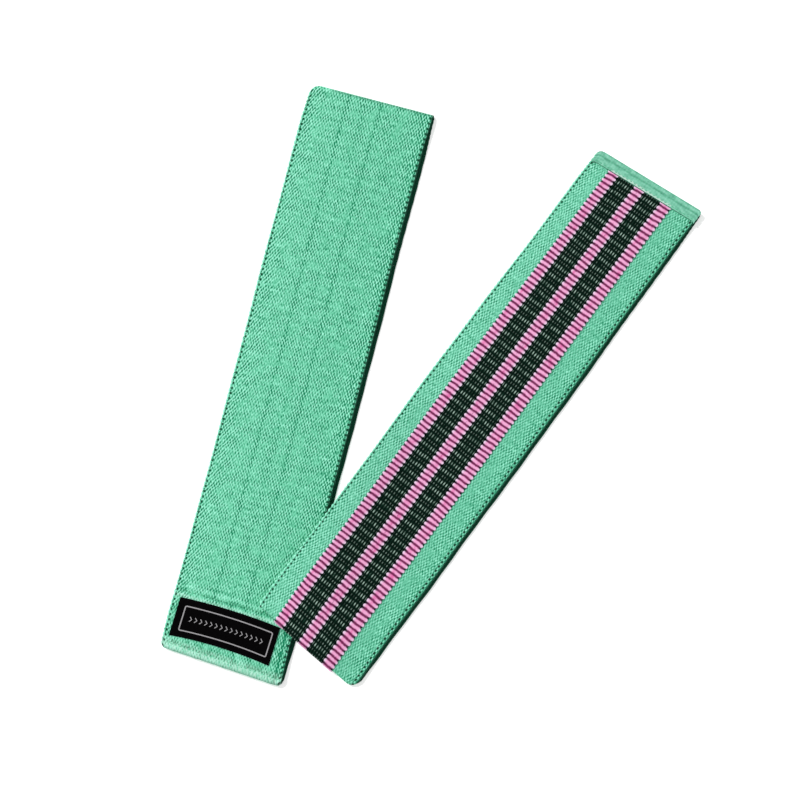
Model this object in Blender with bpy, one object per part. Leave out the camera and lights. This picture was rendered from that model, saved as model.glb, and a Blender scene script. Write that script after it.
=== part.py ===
"""Two fabric hip resistance bands, laid flat: one right side out, its mate inside out.

Each band is a loop of green elastic webbing with a striped grip lining on its inner side.
The first band (label band) runs along +Y. The second (grip band) is turned inside out and
its folded end rests on the first band. Every loop is built as panels that ride on bodies,
so that it can be stretched and opened.
"""

import math

import bmesh
import bpy

# Driving dimensions, in metres.
BAND_WIDTH = 0.0815
LABEL_BAND_LENGTH = 0.376
GRIP_BAND_LENGTH = 0.3734
LINING_WIDTH = 0.0484
WEBBING_THICKNESS = 0.0012
LINING_THICKNESS = 0.0008
GAP = 0.0003
INNER_GAP = 0.0010
TOTAL_THICKNESS = 2 * (WEBBING_THICKNESS + LINING_THICKNESS + GAP) + INNER_GAP
CENTRE_HEIGHT = TOTAL_THICKNESS / 2

# Where each loop bends when it is opened, measured from its near end.
LABEL_BEND_START = 0.118
LABEL_RISER = 0.085
GRIP_BEND_START = 0.030
GRIP_RISER = 0.100
SLIDER = 0.035
BEND_CLEARANCE = 0.0026
SPLIT = 0.0003
FOLD_RUN = 0.012
FOLD_LEG = 0.0075

# How the grip band lies on the label band.
GRIP_HEADING = math.radians(21.24)
GRIP_NEAR_END = (0.0520, 0.0258)
GRIP_TILT = math.radians(1.131)
GRIP_LINING_OFFSET = -0.0031

# Seam details.
HEM_DEPTH = 0.009
LABEL_SIZE = (0.0674, 0.0255)
LABEL_CENTRE = (-0.0021, 0.0205)
LABEL_TURN = math.radians(-2.3)
LABEL_THICKNESS = 0.0005
THREAD_RADIUS = 0.0003

HALF = BAND_WIDTH / 2
LAYER_MID = (WEBBING_THICKNESS + LINING_THICKNESS + GAP) / 2
UPPER_MID = TOTAL_THICKNESS - LAYER_MID
ARC_STEPS = 8
pieces = []


def clear_scene():
    for old in list(bpy.data.objects):
        bpy.data.objects.remove(old, do_unlink=True)


def make_material(name, colour, roughness):
    mat = bpy.data.materials.new(name)
    mat.use_nodes = True
    shader = mat.node_tree.nodes["Principled BSDF"]
    shader.inputs["Base Color"].default_value = (*colour, 1.0)
    shader.inputs["Roughness"].default_value = roughness
    shader.inputs["Metallic"].default_value = 0.0
    return mat


def place_label_band(point):
    return point


def place_grip_band(point):
    """Tilts the flat grip band onto the label band, then turns it to its heading."""
    x, y, z = point
    back = GRIP_BAND_LENGTH - y
    sin_t = math.sin(GRIP_TILT)
    cos_t = math.cos(GRIP_TILT)
    along = GRIP_BAND_LENGTH - back * cos_t + z * sin_t
    height = back * sin_t + z * cos_t - CENTRE_HEIGHT * sin_t
    sin_h = math.sin(GRIP_HEADING)
    cos_h = math.cos(GRIP_HEADING)
    world_x = GRIP_NEAR_END[0] + along * sin_h + x * cos_h
    world_y = GRIP_NEAR_END[1] + along * cos_h - x * sin_h
    return (world_x, world_y, height)


def add_piece(name, verts, faces, pivot, material, place):
    """Keeps a solid, in its band's own frame, until all are known and can be centred."""
    placed = [place(v) for v in verts]
    pieces.append((name, placed, faces, place(pivot), material))


def sheet_section(left, right, thickness):
    """Cross-section of a sheet, as offsets across it and along its normal."""
    chamfer = 0.3 * thickness
    top = thickness / 2
    return [
        (left, chamfer - top),
        (left, top - chamfer),
        (left + chamfer, top),
        (right - chamfer, top),
        (right, top - chamfer),
        (right, chamfer - top),
        (right - chamfer, -top),
        (left + chamfer, -top),
    ]


def sheet(name, path, section, pivot, material, place):
    """Sweeps a cross-section along a path of points (y, z, normal angle)."""
    verts = []
    for y, z, angle in path:
        ny = math.cos(angle)
        nz = math.sin(angle)
        for across, out in section:
            verts.append((across, y + out * ny, z + out * nz))
    count = len(section)
    faces = []
    for ring in range(len(path) - 1):
        for i in range(count):
            j = (i + 1) % count
            a = ring * count
            b = a + count
            faces.append((a + i, a + j, b + j, b + i))
    faces.append(tuple(reversed(range(count))))
    last = (len(path) - 1) * count
    faces.append(tuple(range(last, last + count)))
    add_piece(name, verts, faces, pivot, material, place)


def flat_path(start, end, height):
    return [(start, height, math.pi / 2), (end, height, math.pi / 2)]


def fold(centre_y, radius, first, last):
    """Arc of a fold about the middle height, from one angle to another."""
    points = []
    for i in range(ARC_STEPS + 1):
        angle = math.radians(first + (last - first) * i / ARC_STEPS)
        y = centre_y + radius * math.cos(angle)
        z = CENTRE_HEIGHT + radius * math.sin(angle)
        points.append((y, z, angle))
    return points


def thread_row(name, start, end, height, pitch, pivot, material, place):
    """One row of lockstitches: a thread that rises over each stitch and dips between."""
    run = math.dist(start, end)
    stitches = max(2, round(run / pitch))
    steps = stitches * 4
    dx = (end[0] - start[0]) / run
    dy = (end[1] - start[1]) / run
    verts = []
    for i in range(steps + 1):
        t = i / steps
        x = start[0] + (end[0] - start[0]) * t
        y = start[1] + (end[1] - start[1]) * t
        swell = 0.5 - 0.5 * math.cos(2 * math.pi * t * stitches)
        wide = THREAD_RADIUS * (0.55 + 0.45 * swell)
        z = height + wide
        for k in range(6):
            angle = math.pi * k / 3
            off = wide * math.cos(angle)
            up = wide * math.sin(angle)
            verts.append((x - off * dy, y + off * dx, z + up))
    faces = tube_faces(steps + 1, 6)
    add_piece(name, verts, faces, pivot, material, place)


def tube_faces(rings, sides):
    faces = []
    for ring in range(rings - 1):
        for i in range(sides):
            j = (i + 1) % sides
            a = ring * sides
            b = a + sides
            faces.append((a + i, b + i, b + j, a + j))
    faces.append(tuple(range(sides)))
    last = (rings - 1) * sides
    faces.append(tuple(reversed(range(last, last + sides))))
    return faces


def closed_thread(name, corners, height, pivot, material, place):
    """A thread that runs round a patch and meets itself."""
    rings = []
    for i, corner in enumerate(corners):
        after = corners[(i + 1) % len(corners)]
        before = corners[i - 1]
        ins = unit(corner[0] - before[0], corner[1] - before[1])
        out = unit(after[0] - corner[0], after[1] - corner[1])
        way = unit(ins[0] + out[0], ins[1] + out[1])
        spread = 1 / max(0.3, way[0] * out[0] + way[1] * out[1])
        rings.append((corner, way, spread))
    verts = []
    for corner, way, spread in rings:
        for k in range(6):
            angle = math.pi * k / 3
            off = THREAD_RADIUS * math.cos(angle) * spread
            up = THREAD_RADIUS * math.sin(angle)
            x = corner[0] - off * way[1]
            y = corner[1] + off * way[0]
            verts.append((x, y, height + THREAD_RADIUS + up))
    faces = []
    total = len(rings)
    for ring in range(total):
        for i in range(6):
            j = (i + 1) % 6
            a = ring * 6
            b = ((ring + 1) % total) * 6
            faces.append((a + i, b + i, b + j, a + j))
    add_piece(name, verts, faces, pivot, material, place)


def unit(x, y):
    size = math.hypot(x, y)
    return (x / size, y / size)


def patch_corners(centre, size, turn, inset, radius):
    """Corners of a turned rectangle with small rounded corners, anticlockwise."""
    half_x = size[0] / 2 - inset
    half_y = size[1] / 2 - inset
    points = []
    for sx, sy, start in ((1, -1, -90), (1, 1, 0), (-1, 1, 90), (-1, -1, 180)):
        for step in range(4):
            angle = math.radians(start + 30 * step)
            x = sx * (half_x - radius) + radius * math.cos(angle)
            y = sy * (half_y - radius) + radius * math.sin(angle)
            cos_t = math.cos(turn)
            sin_t = math.sin(turn)
            points.append(
                (
                    centre[0] + x * cos_t - y * sin_t,
                    centre[1] + x * sin_t + y * cos_t,
                )
            )
    return points


def patch(name, centre, size, turn, base, thickness, pivot, material, place):
    """Flat woven patch with rounded corners."""
    outline = patch_corners(centre, size, turn, 0.0, 0.0012)
    count = len(outline)
    verts = [(x, y, base) for x, y in outline]
    verts += [(x, y, base + thickness) for x, y in outline]
    faces = [tuple(reversed(range(count))), tuple(range(count, 2 * count))]
    for i in range(count):
        j = (i + 1) % count
        faces.append((i, j, count + j, count + i))
    add_piece(name, verts, faces, pivot, material, place)


def loop_pivots(length, bend_start, riser):
    """Hinge lines of the opening loop: a parallelogram seen from the side."""
    fold_start = length - FOLD_LEG
    return {
        "upper_near": (0.0, bend_start, UPPER_MID),
        "upper_middle": (0.0, bend_start + riser, UPPER_MID),
        "lower_far": (0.0, fold_start - riser, LAYER_MID),
        "far_fold": (0.0, fold_start, LAYER_MID),
    }


def loop_layer(
    prefix, part, half, offset, thickness, low, length, bends, near, far, mat, place
):
    """One layer of a loop, cut into the panels that ride on its bodies.

    low is the middle height of the layer's lower run. near and far are the layer's ends:
    a number stops both runs that far from the end, and None folds the layer round it.
    """
    bend_start, riser = bends
    pivots = loop_pivots(length, bend_start, riser)
    high = TOTAL_THICKNESS - low
    radius = CENTRE_HEIGHT - low
    turn = CENTRE_HEIGHT
    clear = BEND_CLEARANCE / 2
    section = sheet_section(offset - half, offset + half, thickness)
    fold_start = length - FOLD_LEG
    low_bend = fold_start - riser
    low_slide = low_bend - SLIDER
    high_bend = bend_start + riser
    high_slide = high_bend + SLIDER
    base = (0.0, 0.0, 0.0)

    if near is None:
        path = [(FOLD_RUN, high, math.pi / 2)] + fold(turn, radius, 90, 270)
        path.append((FOLD_RUN, low, 3 * math.pi / 2))
        sheet(prefix + part + "_near_fold", path, section, base, mat, place)
    start = FOLD_RUN + SPLIT if near is None else near
    path = flat_path(start, low_slide - SPLIT / 2, low)
    sheet(prefix + part + "_lower_near", path, section, base, mat, place)
    path = flat_path(start, bend_start - clear, high)
    sheet(prefix + part + "_upper_base", path, section, base, mat, place)

    path = flat_path(low_slide + SPLIT / 2, low_bend - clear, low)
    name = prefix + part + "_lower_middle"
    sheet(name, path, section, (0.0, low_slide, LAYER_MID), mat, place)

    path = flat_path(bend_start + clear, high_bend - clear, high)
    name = prefix + part + "_upper_near"
    sheet(name, path, section, pivots["upper_near"], mat, place)

    path = flat_path(high_bend + clear, high_slide - SPLIT / 2, high)
    name = prefix + part + "_upper_middle"
    sheet(name, path, section, pivots["upper_middle"], mat, place)

    path = flat_path(low_bend + clear, min(fold_start - clear, length - (far or 0.0)), low)
    name = prefix + part + "_lower_far"
    sheet(name, path, section, pivots["lower_far"], mat, place)
    path = flat_path(high_slide + SPLIT / 2, length - (far or turn + SPLIT), high)
    name = prefix + part + "_upper_far"
    sheet(name, path, section, (0.0, high_slide, UPPER_MID), mat, place)
    if far is None:
        path = [(fold_start + clear, low, -math.pi / 2)] + fold(length - turn, radius, -90, 90)
        name = prefix + part + "_far_fold"
        sheet(name, path, section, pivots["far_fold"], mat, place)


def build_label_band(webbing, lining, label, thread):
    """The band that is right side out: webbing outside, lining inside, label on top."""
    prefix = "label_band_"
    place = place_label_band
    bends = (LABEL_BEND_START, LABEL_RISER)
    base = (0.0, 0.0, 0.0)
    length = LABEL_BAND_LENGTH
    web = WEBBING_THICKNESS
    low_lining = web + GAP + LINING_THICKNESS / 2
    loop_layer(
        prefix, "webbing", HALF, 0.0, web, web / 2, length, bends, None, None, webbing, place
    )
    half = LINING_WIDTH / 2
    thick = LINING_THICKNESS
    loop_layer(
        prefix, "grip_lining", half, -GRIP_LINING_OFFSET, thick, low_lining, length, bends,
        HEM_DEPTH + 0.001, None, lining, place,
    )
    hem_height = TOTAL_THICKNESS - web - GAP - web / 2
    path = flat_path(0.0022, HEM_DEPTH, hem_height)
    section = sheet_section(-HALF + 0.001, HALF - 0.001, web)
    sheet(prefix + "seam_hem", path, section, base, webbing, place)

    top = TOTAL_THICKNESS + GAP
    patch(
        prefix + "woven_label", LABEL_CENTRE, LABEL_SIZE, LABEL_TURN, top,
        LABEL_THICKNESS, base, label, place,
    )
    corners = patch_corners(LABEL_CENTRE, LABEL_SIZE, LABEL_TURN, 0.0012, 0.0008)
    above = top + LABEL_THICKNESS + GAP
    closed_thread(prefix + "label_stitching", corners, above, base, label, place)
    edge = HALF - 0.002
    thread_row(
        prefix + "seam_stitching_upper", (-edge, 0.0374), (edge, 0.0358), top, 0.0026,
        base, thread, place,
    )
    thread_row(
        prefix + "seam_stitching_lower", (-edge, 0.0058), (edge, 0.0030), top, 0.0026,
        base, thread, place,
    )


def build_grip_band(webbing, lining, label, thread):
    """The band that is inside out: lining outside, webbing and label inside."""
    prefix = "grip_band_"
    place = place_grip_band
    bends = (GRIP_BEND_START, GRIP_RISER)
    length = GRIP_BAND_LENGTH
    pivots = loop_pivots(length, *bends)
    web = WEBBING_THICKNESS
    thick = LINING_THICKNESS
    low_webbing = thick + GAP + web / 2
    loop_layer(
        prefix, "webbing", HALF, 0.0, web, low_webbing, length, bends, None, None, webbing,
        place,
    )
    loop_layer(
        prefix, "grip_lining", LINING_WIDTH / 2, GRIP_LINING_OFFSET, thick, thick / 2,
        length, bends, None, HEM_DEPTH + 0.0005, lining, place,
    )
    fold_pivot = pivots["far_fold"]
    hem_height = TOTAL_THICKNESS - thick + web / 2
    path = flat_path(length - HEM_DEPTH, length - 0.0012, hem_height)
    section = sheet_section(-HALF, HALF, web)
    sheet(prefix + "seam_hem", path, section, fold_pivot, webbing, place)

    top = TOTAL_THICKNESS - thick + web + GAP
    edge = HALF - 0.002
    for name, depth in (("outer", 0.0038), ("inner", 0.0078)):
        y = length - depth
        thread_row(
            prefix + "seam_stitching_" + name, (-edge, y), (edge, y), top, 0.0026,
            fold_pivot, thread, place,
        )
    low_top = thick + GAP + web + GAP
    centre = (-LABEL_CENTRE[0], length - LABEL_CENTRE[1])
    patch(
        prefix + "woven_label", centre, LABEL_SIZE, 0.0, low_top, INNER_GAP - 2 * GAP,
        pivots["lower_far"], label, place,
    )


def turn_faces_out(mesh):
    bm = bmesh.new()
    bm.from_mesh(mesh)
    bmesh.ops.recalc_face_normals(bm, faces=bm.faces)
    bm.to_mesh(mesh)
    bm.free()
    mesh.update()


def build_objects():
    """Centres the whole part over the origin, resting on the ground, and makes objects."""
    every = [v for piece in pieces for v in piece[1]]
    low = [min(v[i] for v in every) for i in range(3)]
    high = [max(v[i] for v in every) for i in range(3)]
    shift = ((low[0] + high[0]) / 2, (low[1] + high[1]) / 2, low[2])
    for name, verts, faces, pivot, material in pieces:
        local = [tuple(v[i] - pivot[i] for i in range(3)) for v in verts]
        mesh = bpy.data.meshes.new(name)
        mesh.from_pydata(local, [], faces)
        turn_faces_out(mesh)
        mesh.materials.append(material)
        ob = bpy.data.objects.new(name, mesh)
        ob.location = tuple(pivot[i] - shift[i] for i in range(3))
        bpy.context.scene.collection.objects.link(ob)


def main():
    clear_scene()
    webbing = make_material("green_elastic_webbing", (0.171, 0.591, 0.386), 0.85)
    lining = make_material("striped_grip_lining", (0.52, 0.17, 0.36), 0.8)
    label = make_material("black_woven_label", (0.012, 0.012, 0.012), 0.75)
    thread = make_material("green_sewing_thread", (0.12, 0.50, 0.32), 0.7)
    build_label_band(webbing, lining, label, thread)
    build_grip_band(webbing, lining, label, thread)
    build_objects()


main()
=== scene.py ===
"""Two fabric hip resistance bands on a white surface, seen from straight above.

The label band is right side out. The grip band is turned inside out and its folded end
lies on the label band. Cloth is swept from curves that follow each loop, and the weave,
ribs and stripes follow UV maps in metres: U runs along the band and V across it.
"""

import math

import bpy
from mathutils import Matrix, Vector, noise


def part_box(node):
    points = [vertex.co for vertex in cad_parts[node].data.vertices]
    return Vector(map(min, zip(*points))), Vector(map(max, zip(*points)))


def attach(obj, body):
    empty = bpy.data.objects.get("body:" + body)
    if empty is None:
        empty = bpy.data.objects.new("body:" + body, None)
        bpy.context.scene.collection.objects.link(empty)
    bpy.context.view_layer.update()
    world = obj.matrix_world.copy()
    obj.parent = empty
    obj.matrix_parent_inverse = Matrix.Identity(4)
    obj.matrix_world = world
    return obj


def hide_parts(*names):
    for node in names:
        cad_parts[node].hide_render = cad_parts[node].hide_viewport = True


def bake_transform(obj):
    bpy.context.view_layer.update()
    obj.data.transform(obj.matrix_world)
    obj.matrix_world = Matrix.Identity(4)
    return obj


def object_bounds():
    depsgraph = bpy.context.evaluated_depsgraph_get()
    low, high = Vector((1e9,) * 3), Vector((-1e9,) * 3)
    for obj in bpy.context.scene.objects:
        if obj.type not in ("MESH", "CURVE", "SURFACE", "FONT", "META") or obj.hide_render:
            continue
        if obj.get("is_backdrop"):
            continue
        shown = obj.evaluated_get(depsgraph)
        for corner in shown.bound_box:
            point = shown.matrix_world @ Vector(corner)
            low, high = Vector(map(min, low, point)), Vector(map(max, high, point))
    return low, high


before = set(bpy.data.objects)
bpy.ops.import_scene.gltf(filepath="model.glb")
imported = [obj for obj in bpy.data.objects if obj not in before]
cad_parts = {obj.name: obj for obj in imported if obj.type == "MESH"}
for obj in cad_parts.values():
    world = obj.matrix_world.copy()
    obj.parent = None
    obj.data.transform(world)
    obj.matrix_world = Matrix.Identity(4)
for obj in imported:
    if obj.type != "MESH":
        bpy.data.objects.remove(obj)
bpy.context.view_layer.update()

# Cloth, in metres. A layer's height is the middle of its lower run.
HALF = 0.04075
WEB = 0.0012
LINING = 0.0008
THICK = 0.0056
MID = THICK / 2
WEB_OUT = WEB / 2
LINING_IN = 0.0019
LINING_OUT = 0.0004
WEB_IN = 0.0017

# Weave and ribs. Stripes are the edges of the pink ones, from left to right.
RIB = 0.0034
DASH_COLUMN = 0.00185
WEAVE_ALONG = 0.00344
WEAVE_ACROSS = 0.00193
STRIPES = (-0.0268, -0.0194, -0.0064, 0.0009, 0.0141, 0.0223)
PINK_STRIPES = (STRIPES[0:2], STRIPES[2:4], STRIPES[4:6])
GROOVES = ((-0.0147, 1.0), (-0.0034, 0.35), (0.0065, 1.0), (0.0179, 0.25), (0.0354, 0.6))
GROOVE_REACH = 0.0018
EDGE_DOTS = 0.0013

# Seams, measured from the sewn end of a loop. Puffs are beside the label band's upper row, with a
# painted highlight.
HEM = 0.009
PUFFED_END = 0.0052
SEAM_ROWS = (0.0045, 0.0398)
PUFFS = (0.0368, 0.0428)
PALE_ROW = 0.0363
HEM_ROWS = (0.0038, 0.0080)
HEM_GROOVE = 0.0040
FRAYED_ROW = 0.0084
SIDE_CREASE = 0.0365
SIDE_CREASE_SHADE = 0.0362

# Where the cloth is cut, and zones round its joints, measured from the place of the joint there.
FOLD_LEG = 0.0075
NEAR_RUN = 0.012
CUT = 0.00003
FIRST_CUT = 0.032
SECOND_CUT = 0.0115
LOW_CUT = -0.0065
RISING = (-0.005, 0.011)
LEVELLING = (-0.010, 0.010)

# Distance between the cross sections of a plain layer, a bend, a fold and a hidden hem.
COARSE = 0.004
BEND_STEP = 0.0025
FOLD_STEP = 0.0008
HEM_STEP = 0.001

# How the bands lie. The grip band's drape goes by how far it is across the label band.
DRAPE_HEIGHT = 0.0059
DRAPE_FROM = 0.0408
DRAPE_RUN = 0.0520
END_REACH = 0.07
CORNER_REACH = 0.025
GATHER_FROM = 0.17
GATHER_RUN = 0.19
GATHER_CENTRE = 0.012
LABEL_BOW = 0.0009
GRIP_BOW = 0.0005

# Edges and relief of the cloth. Pairs are for the left and the right edge.
SELVEDGE_LOOPS = (0.00028, 0.00010)
DRIFT = 0.00012
DRIFT_PITCHES = (0.21, 0.083)
SCALLOPS = 0.00035
GROOVE_DEPTH = 0.00014
PUFF_HEIGHT = 0.0007
ROW_DEPTH = 0.00035
CREASE_DEPTH = 0.00030
RIB_HEIGHT = 0.00022


class Band:
    """One loop. Lengths go from its near end.

    start and heading place its near end. bend and riser set where its layers are cut into
    pieces. near and far are (slope, shift) of an end, corners_near and corners_far the radii of
    its left and right corner. Layers lie spread to either side of centre, and narrow is the
    share by which the loop narrows towards its far end. The lower layer is cut at fold_cut,
    before its far fold. fold_zone, fold_skew and the stretch zones only go to bend(), which
    ignores them.
    """

    def __init__(
        self, name, length, start, heading, bend, riser, near, far, corners_near, corners_far,
        centre, spread, narrow, fold_cut, fold_zone, fold_skew, lower_stretch, upper_stretch,
    ):
        self.name = name
        self.length = length
        self.start = start
        self.heading = heading
        self.bend = bend
        self.rise_end = bend + riser
        self.low_bend = length - FOLD_LEG - riser
        self.near = near
        self.far = far
        self.corners_near = corners_near
        self.corners_far = corners_far
        self.centre = centre
        self.spread = spread
        self.narrow = narrow
        self.fold_cut = fold_cut
        self.fold_bends = ("lower_far", "far_fold", *fold_zone, fold_skew)
        self.lower_stretch = lower_stretch
        self.upper_stretch = upper_stretch


LABEL = Band(
    name="label_band",
    length=0.376,
    start=(0.0, 0.0),
    heading=0.0,
    bend=0.118,
    riser=0.085,
    near=(-0.064, -0.0021),
    far=(0.008, 0.0008),
    corners_near=(0.003, 0.0035),
    corners_far=(0.006, 0.001),
    centre=0.0010,
    spread=0.0013,
    narrow=0.0,
    fold_cut=0.3500,
    fold_zone=(0.3612, 0.3688),
    fold_skew=0.008,
    lower_stretch=(0.122, 0.2755),
    upper_stretch=(0.2175, 0.360),
)
GRIP = Band(
    name="grip_band",
    length=0.3734,
    start=(0.0520, 0.0258),
    heading=math.radians(21.24),
    bend=0.030,
    riser=0.100,
    near=(-0.095, -0.0026),
    far=(0.083, -0.0004),
    corners_near=(0.001, 0.007),
    corners_far=(0.004, 0.003),
    centre=-0.0004,
    spread=0.0009,
    narrow=0.045,
    fold_cut=0.3470,
    fold_zone=(0.3588, 0.3663),
    fold_skew=0.078,
    lower_stretch=(0.1445, 0.2579),
    upper_stretch=(0.1445, 0.2579),
)

# Places are measured from here: the middle of the label band's near end, on the ground.
near_low, near_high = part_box("label_band_webbing_near_fold")
ORIGIN = Vector(((near_low.x + near_high.x) / 2, near_low.y, 0.0))


def smooth(t):
    t = min(1.0, max(0.0, t))
    return t * t * (3 - 2 * t)


def corner_inset(x, radii):
    """How far a rounded corner pulls the end of the band in, at a distance across it."""
    radius = radii[0] if x < 0 else radii[1]
    past = abs(x) - (HALF - radius)
    if past <= 0:
        return 0.0
    # The arc is upright at its very end, so it stops just short of that.
    past = min(past, radius * 0.995)
    return radius - math.sqrt(radius * radius - past * past)


def skewed(band, x, y):
    """Real ends are sewn or folded a little off square, with rounded corners."""
    to_far = band.length - y
    near = 1 - smooth(y / END_REACH)
    far = 1 - smooth(to_far / END_REACH)
    tight_near = 1 - smooth(y / CORNER_REACH)
    tight_far = 1 - smooth(to_far / CORNER_REACH)
    y += (band.near[0] * x + band.near[1]) * near + (band.far[0] * x + band.far[1]) * far
    y += corner_inset(x, band.corners_near) * tight_near
    return y - corner_inset(x, band.corners_far) * tight_far


def drape(across):
    """Height of the grip band over the ground, by how far it is across the label band."""
    return DRAPE_HEIGHT * smooth((DRAPE_FROM + DRAPE_RUN - across) / DRAPE_RUN)


def bowed(band, y):
    """How far a band that lies a little bent has moved to the right."""
    if band is LABEL:
        return LABEL_BOW * smooth(y / 0.08) * (1 - smooth((y - 0.17) / 0.12))
    return GRIP_BOW * smooth((y - 0.035) / 0.05)


def place(band, x, y, z, turned=math.pi / 2):
    """Scene point for a place on a band. turned is the angle of the cloth's normal there.

    The upper layer lies a little to the left of the lower one, less so near the ends.
    """
    new_y = skewed(band, x, y)
    to_end = max(0.0, min(y, band.length - y))
    loose = 0.4 + 0.6 * smooth(to_end / 0.03)
    gathered = band.narrow * smooth((y - GATHER_FROM) / GATHER_RUN)
    x = x * (1 - gathered) + GATHER_CENTRE * gathered
    x += band.centre - band.spread * loose * math.sin(turned) + bowed(band, y)
    ahead, aside = math.cos(band.heading), math.sin(band.heading)
    scene_x = band.start[0] + new_y * aside + x * ahead
    scene_y = band.start[1] + new_y * ahead - x * aside
    if band is GRIP:
        z += drape(scene_x)
    return ORIGIN + Vector((scene_x, scene_y, z))


# Paths along a loop: each point is (distance along the cloth, y, z, angle of the normal).


def run(start, end, height, step):
    """Straight run of a layer, on the upper or the lower side by its height."""
    normal = math.pi / 2 if height > MID else -math.pi / 2
    count = max(1, round(abs(end - start) / step))
    return [(y, y, height, normal) for y in even(start, end, count)]


def turn(band, height, first, last, steps=8):
    """Arc between two angles in degrees: of the near fold where it goes past 90, else the far.

    The near fold is centred at MID and the far one at length - MID.
    """
    radius = abs(height - MID)
    near = max(first, last) > 90
    centre = MID if near else band.length - MID
    points = []
    for degrees in even(first, last, steps)[1:]:
        angle = math.radians(degrees)
        arc = radius * abs(math.radians(degrees - 90))
        along = centre - arc if near else centre + arc
        y = centre + radius * math.cos(angle)
        points.append((along, y, MID + radius * math.sin(angle), angle))
    return points


def even(low, high, count):
    """Numbers from low to high in count equal steps."""
    return [low + (high - low) * i / count for i in range(count + 1)]


def sheet_mesh(name, band, path, columns, thick, material, relief=None, wave=None):
    """Closed cloth mesh: a top side with relief, rounded edges and a plain under side."""
    verts = []
    across_uv = []
    count = len(columns)
    first, last = columns[0], columns[-1]
    pull = thick * 0.35
    for along, y, z, angle in path:
        ny, nz = math.cos(angle), math.sin(angle)
        left = first + (wave(along, first) if wave else 0.0)
        right = last + (wave(along, last) if wave else 0.0)
        xs = [left + pull, *columns[1:-1], right - pull]
        top = [thick / 2 + (relief(along, x) if relief else 0.0) for x in columns]
        ring = list(zip(xs, top, columns))
        ring.append((right, 0.0, last))
        ring += [(xs[i], -thick / 2, columns[i]) for i in reversed(range(count))]
        ring.append((left, 0.0, first))
        for x, up, v in ring:
            verts.append(place(band, x, y + up * ny, z + up * nz, angle))
            across_uv.append((along, v))
    size = 2 * count + 2
    faces = []
    for r in range(len(path) - 1):
        a, b = r * size, (r + 1) * size
        for i in range(size):
            j = (i + 1) % size
            faces.append((a + i, a + j, b + j, b + i))
    faces += [tuple(reversed(face)) for face in end_faces(0, count)]
    faces += end_faces((len(path) - 1) * size, count)
    return mesh_object(name, verts, faces, material, across_uv)


def end_faces(first, count):
    """Faces across the thickness at one end of a sheet, from the first vertex of its ring."""
    under = [first + 2 * count - i for i in range(count)]
    faces = [(first + i, first + i + 1, under[i + 1], under[i]) for i in range(count - 1)]
    faces.append((first + count - 1, first + count, under[-1]))
    faces.append((first + 2 * count + 1, first, under[0]))
    return faces


def mesh_object(name, verts, faces, material, uvs, smooth_angle=40):
    mesh = bpy.data.meshes.new(name)
    mesh.from_pydata([tuple(v) for v in verts], [], faces)
    layer = mesh.uv_layers.new(name="cloth")
    corners = [uvs[loop.vertex_index] for loop in mesh.loops]
    layer.data.foreach_set("uv", [value for uv in corners for value in uv])
    mesh.materials.append(material)
    mesh.validate()
    face_out(mesh)
    mesh.shade_smooth()
    mesh.set_sharp_from_angle(angle=math.radians(smooth_angle))
    ob = bpy.data.objects.new(name, mesh)
    bpy.context.scene.collection.objects.link(ob)
    return ob


def face_out(mesh):
    """Turns the faces out: a closed mesh that encloses a negative volume is inside out."""
    volume = 0.0
    points = [v.co for v in mesh.vertices]
    for poly in mesh.polygons:
        first = points[poly.vertices[0]]
        for k in range(1, len(poly.vertices) - 1):
            one = points[poly.vertices[k]]
            two = points[poly.vertices[k + 1]]
            volume += first.dot(one.cross(two))
    if volume < 0:
        mesh.flip_normals()


# Materials.


def srgb(*values):
    return tuple(
        v / 255 / 12.92 if v <= 10.31 else ((v / 255 + 0.055) / 1.055) ** 2.4 for v in values
    )


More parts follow.
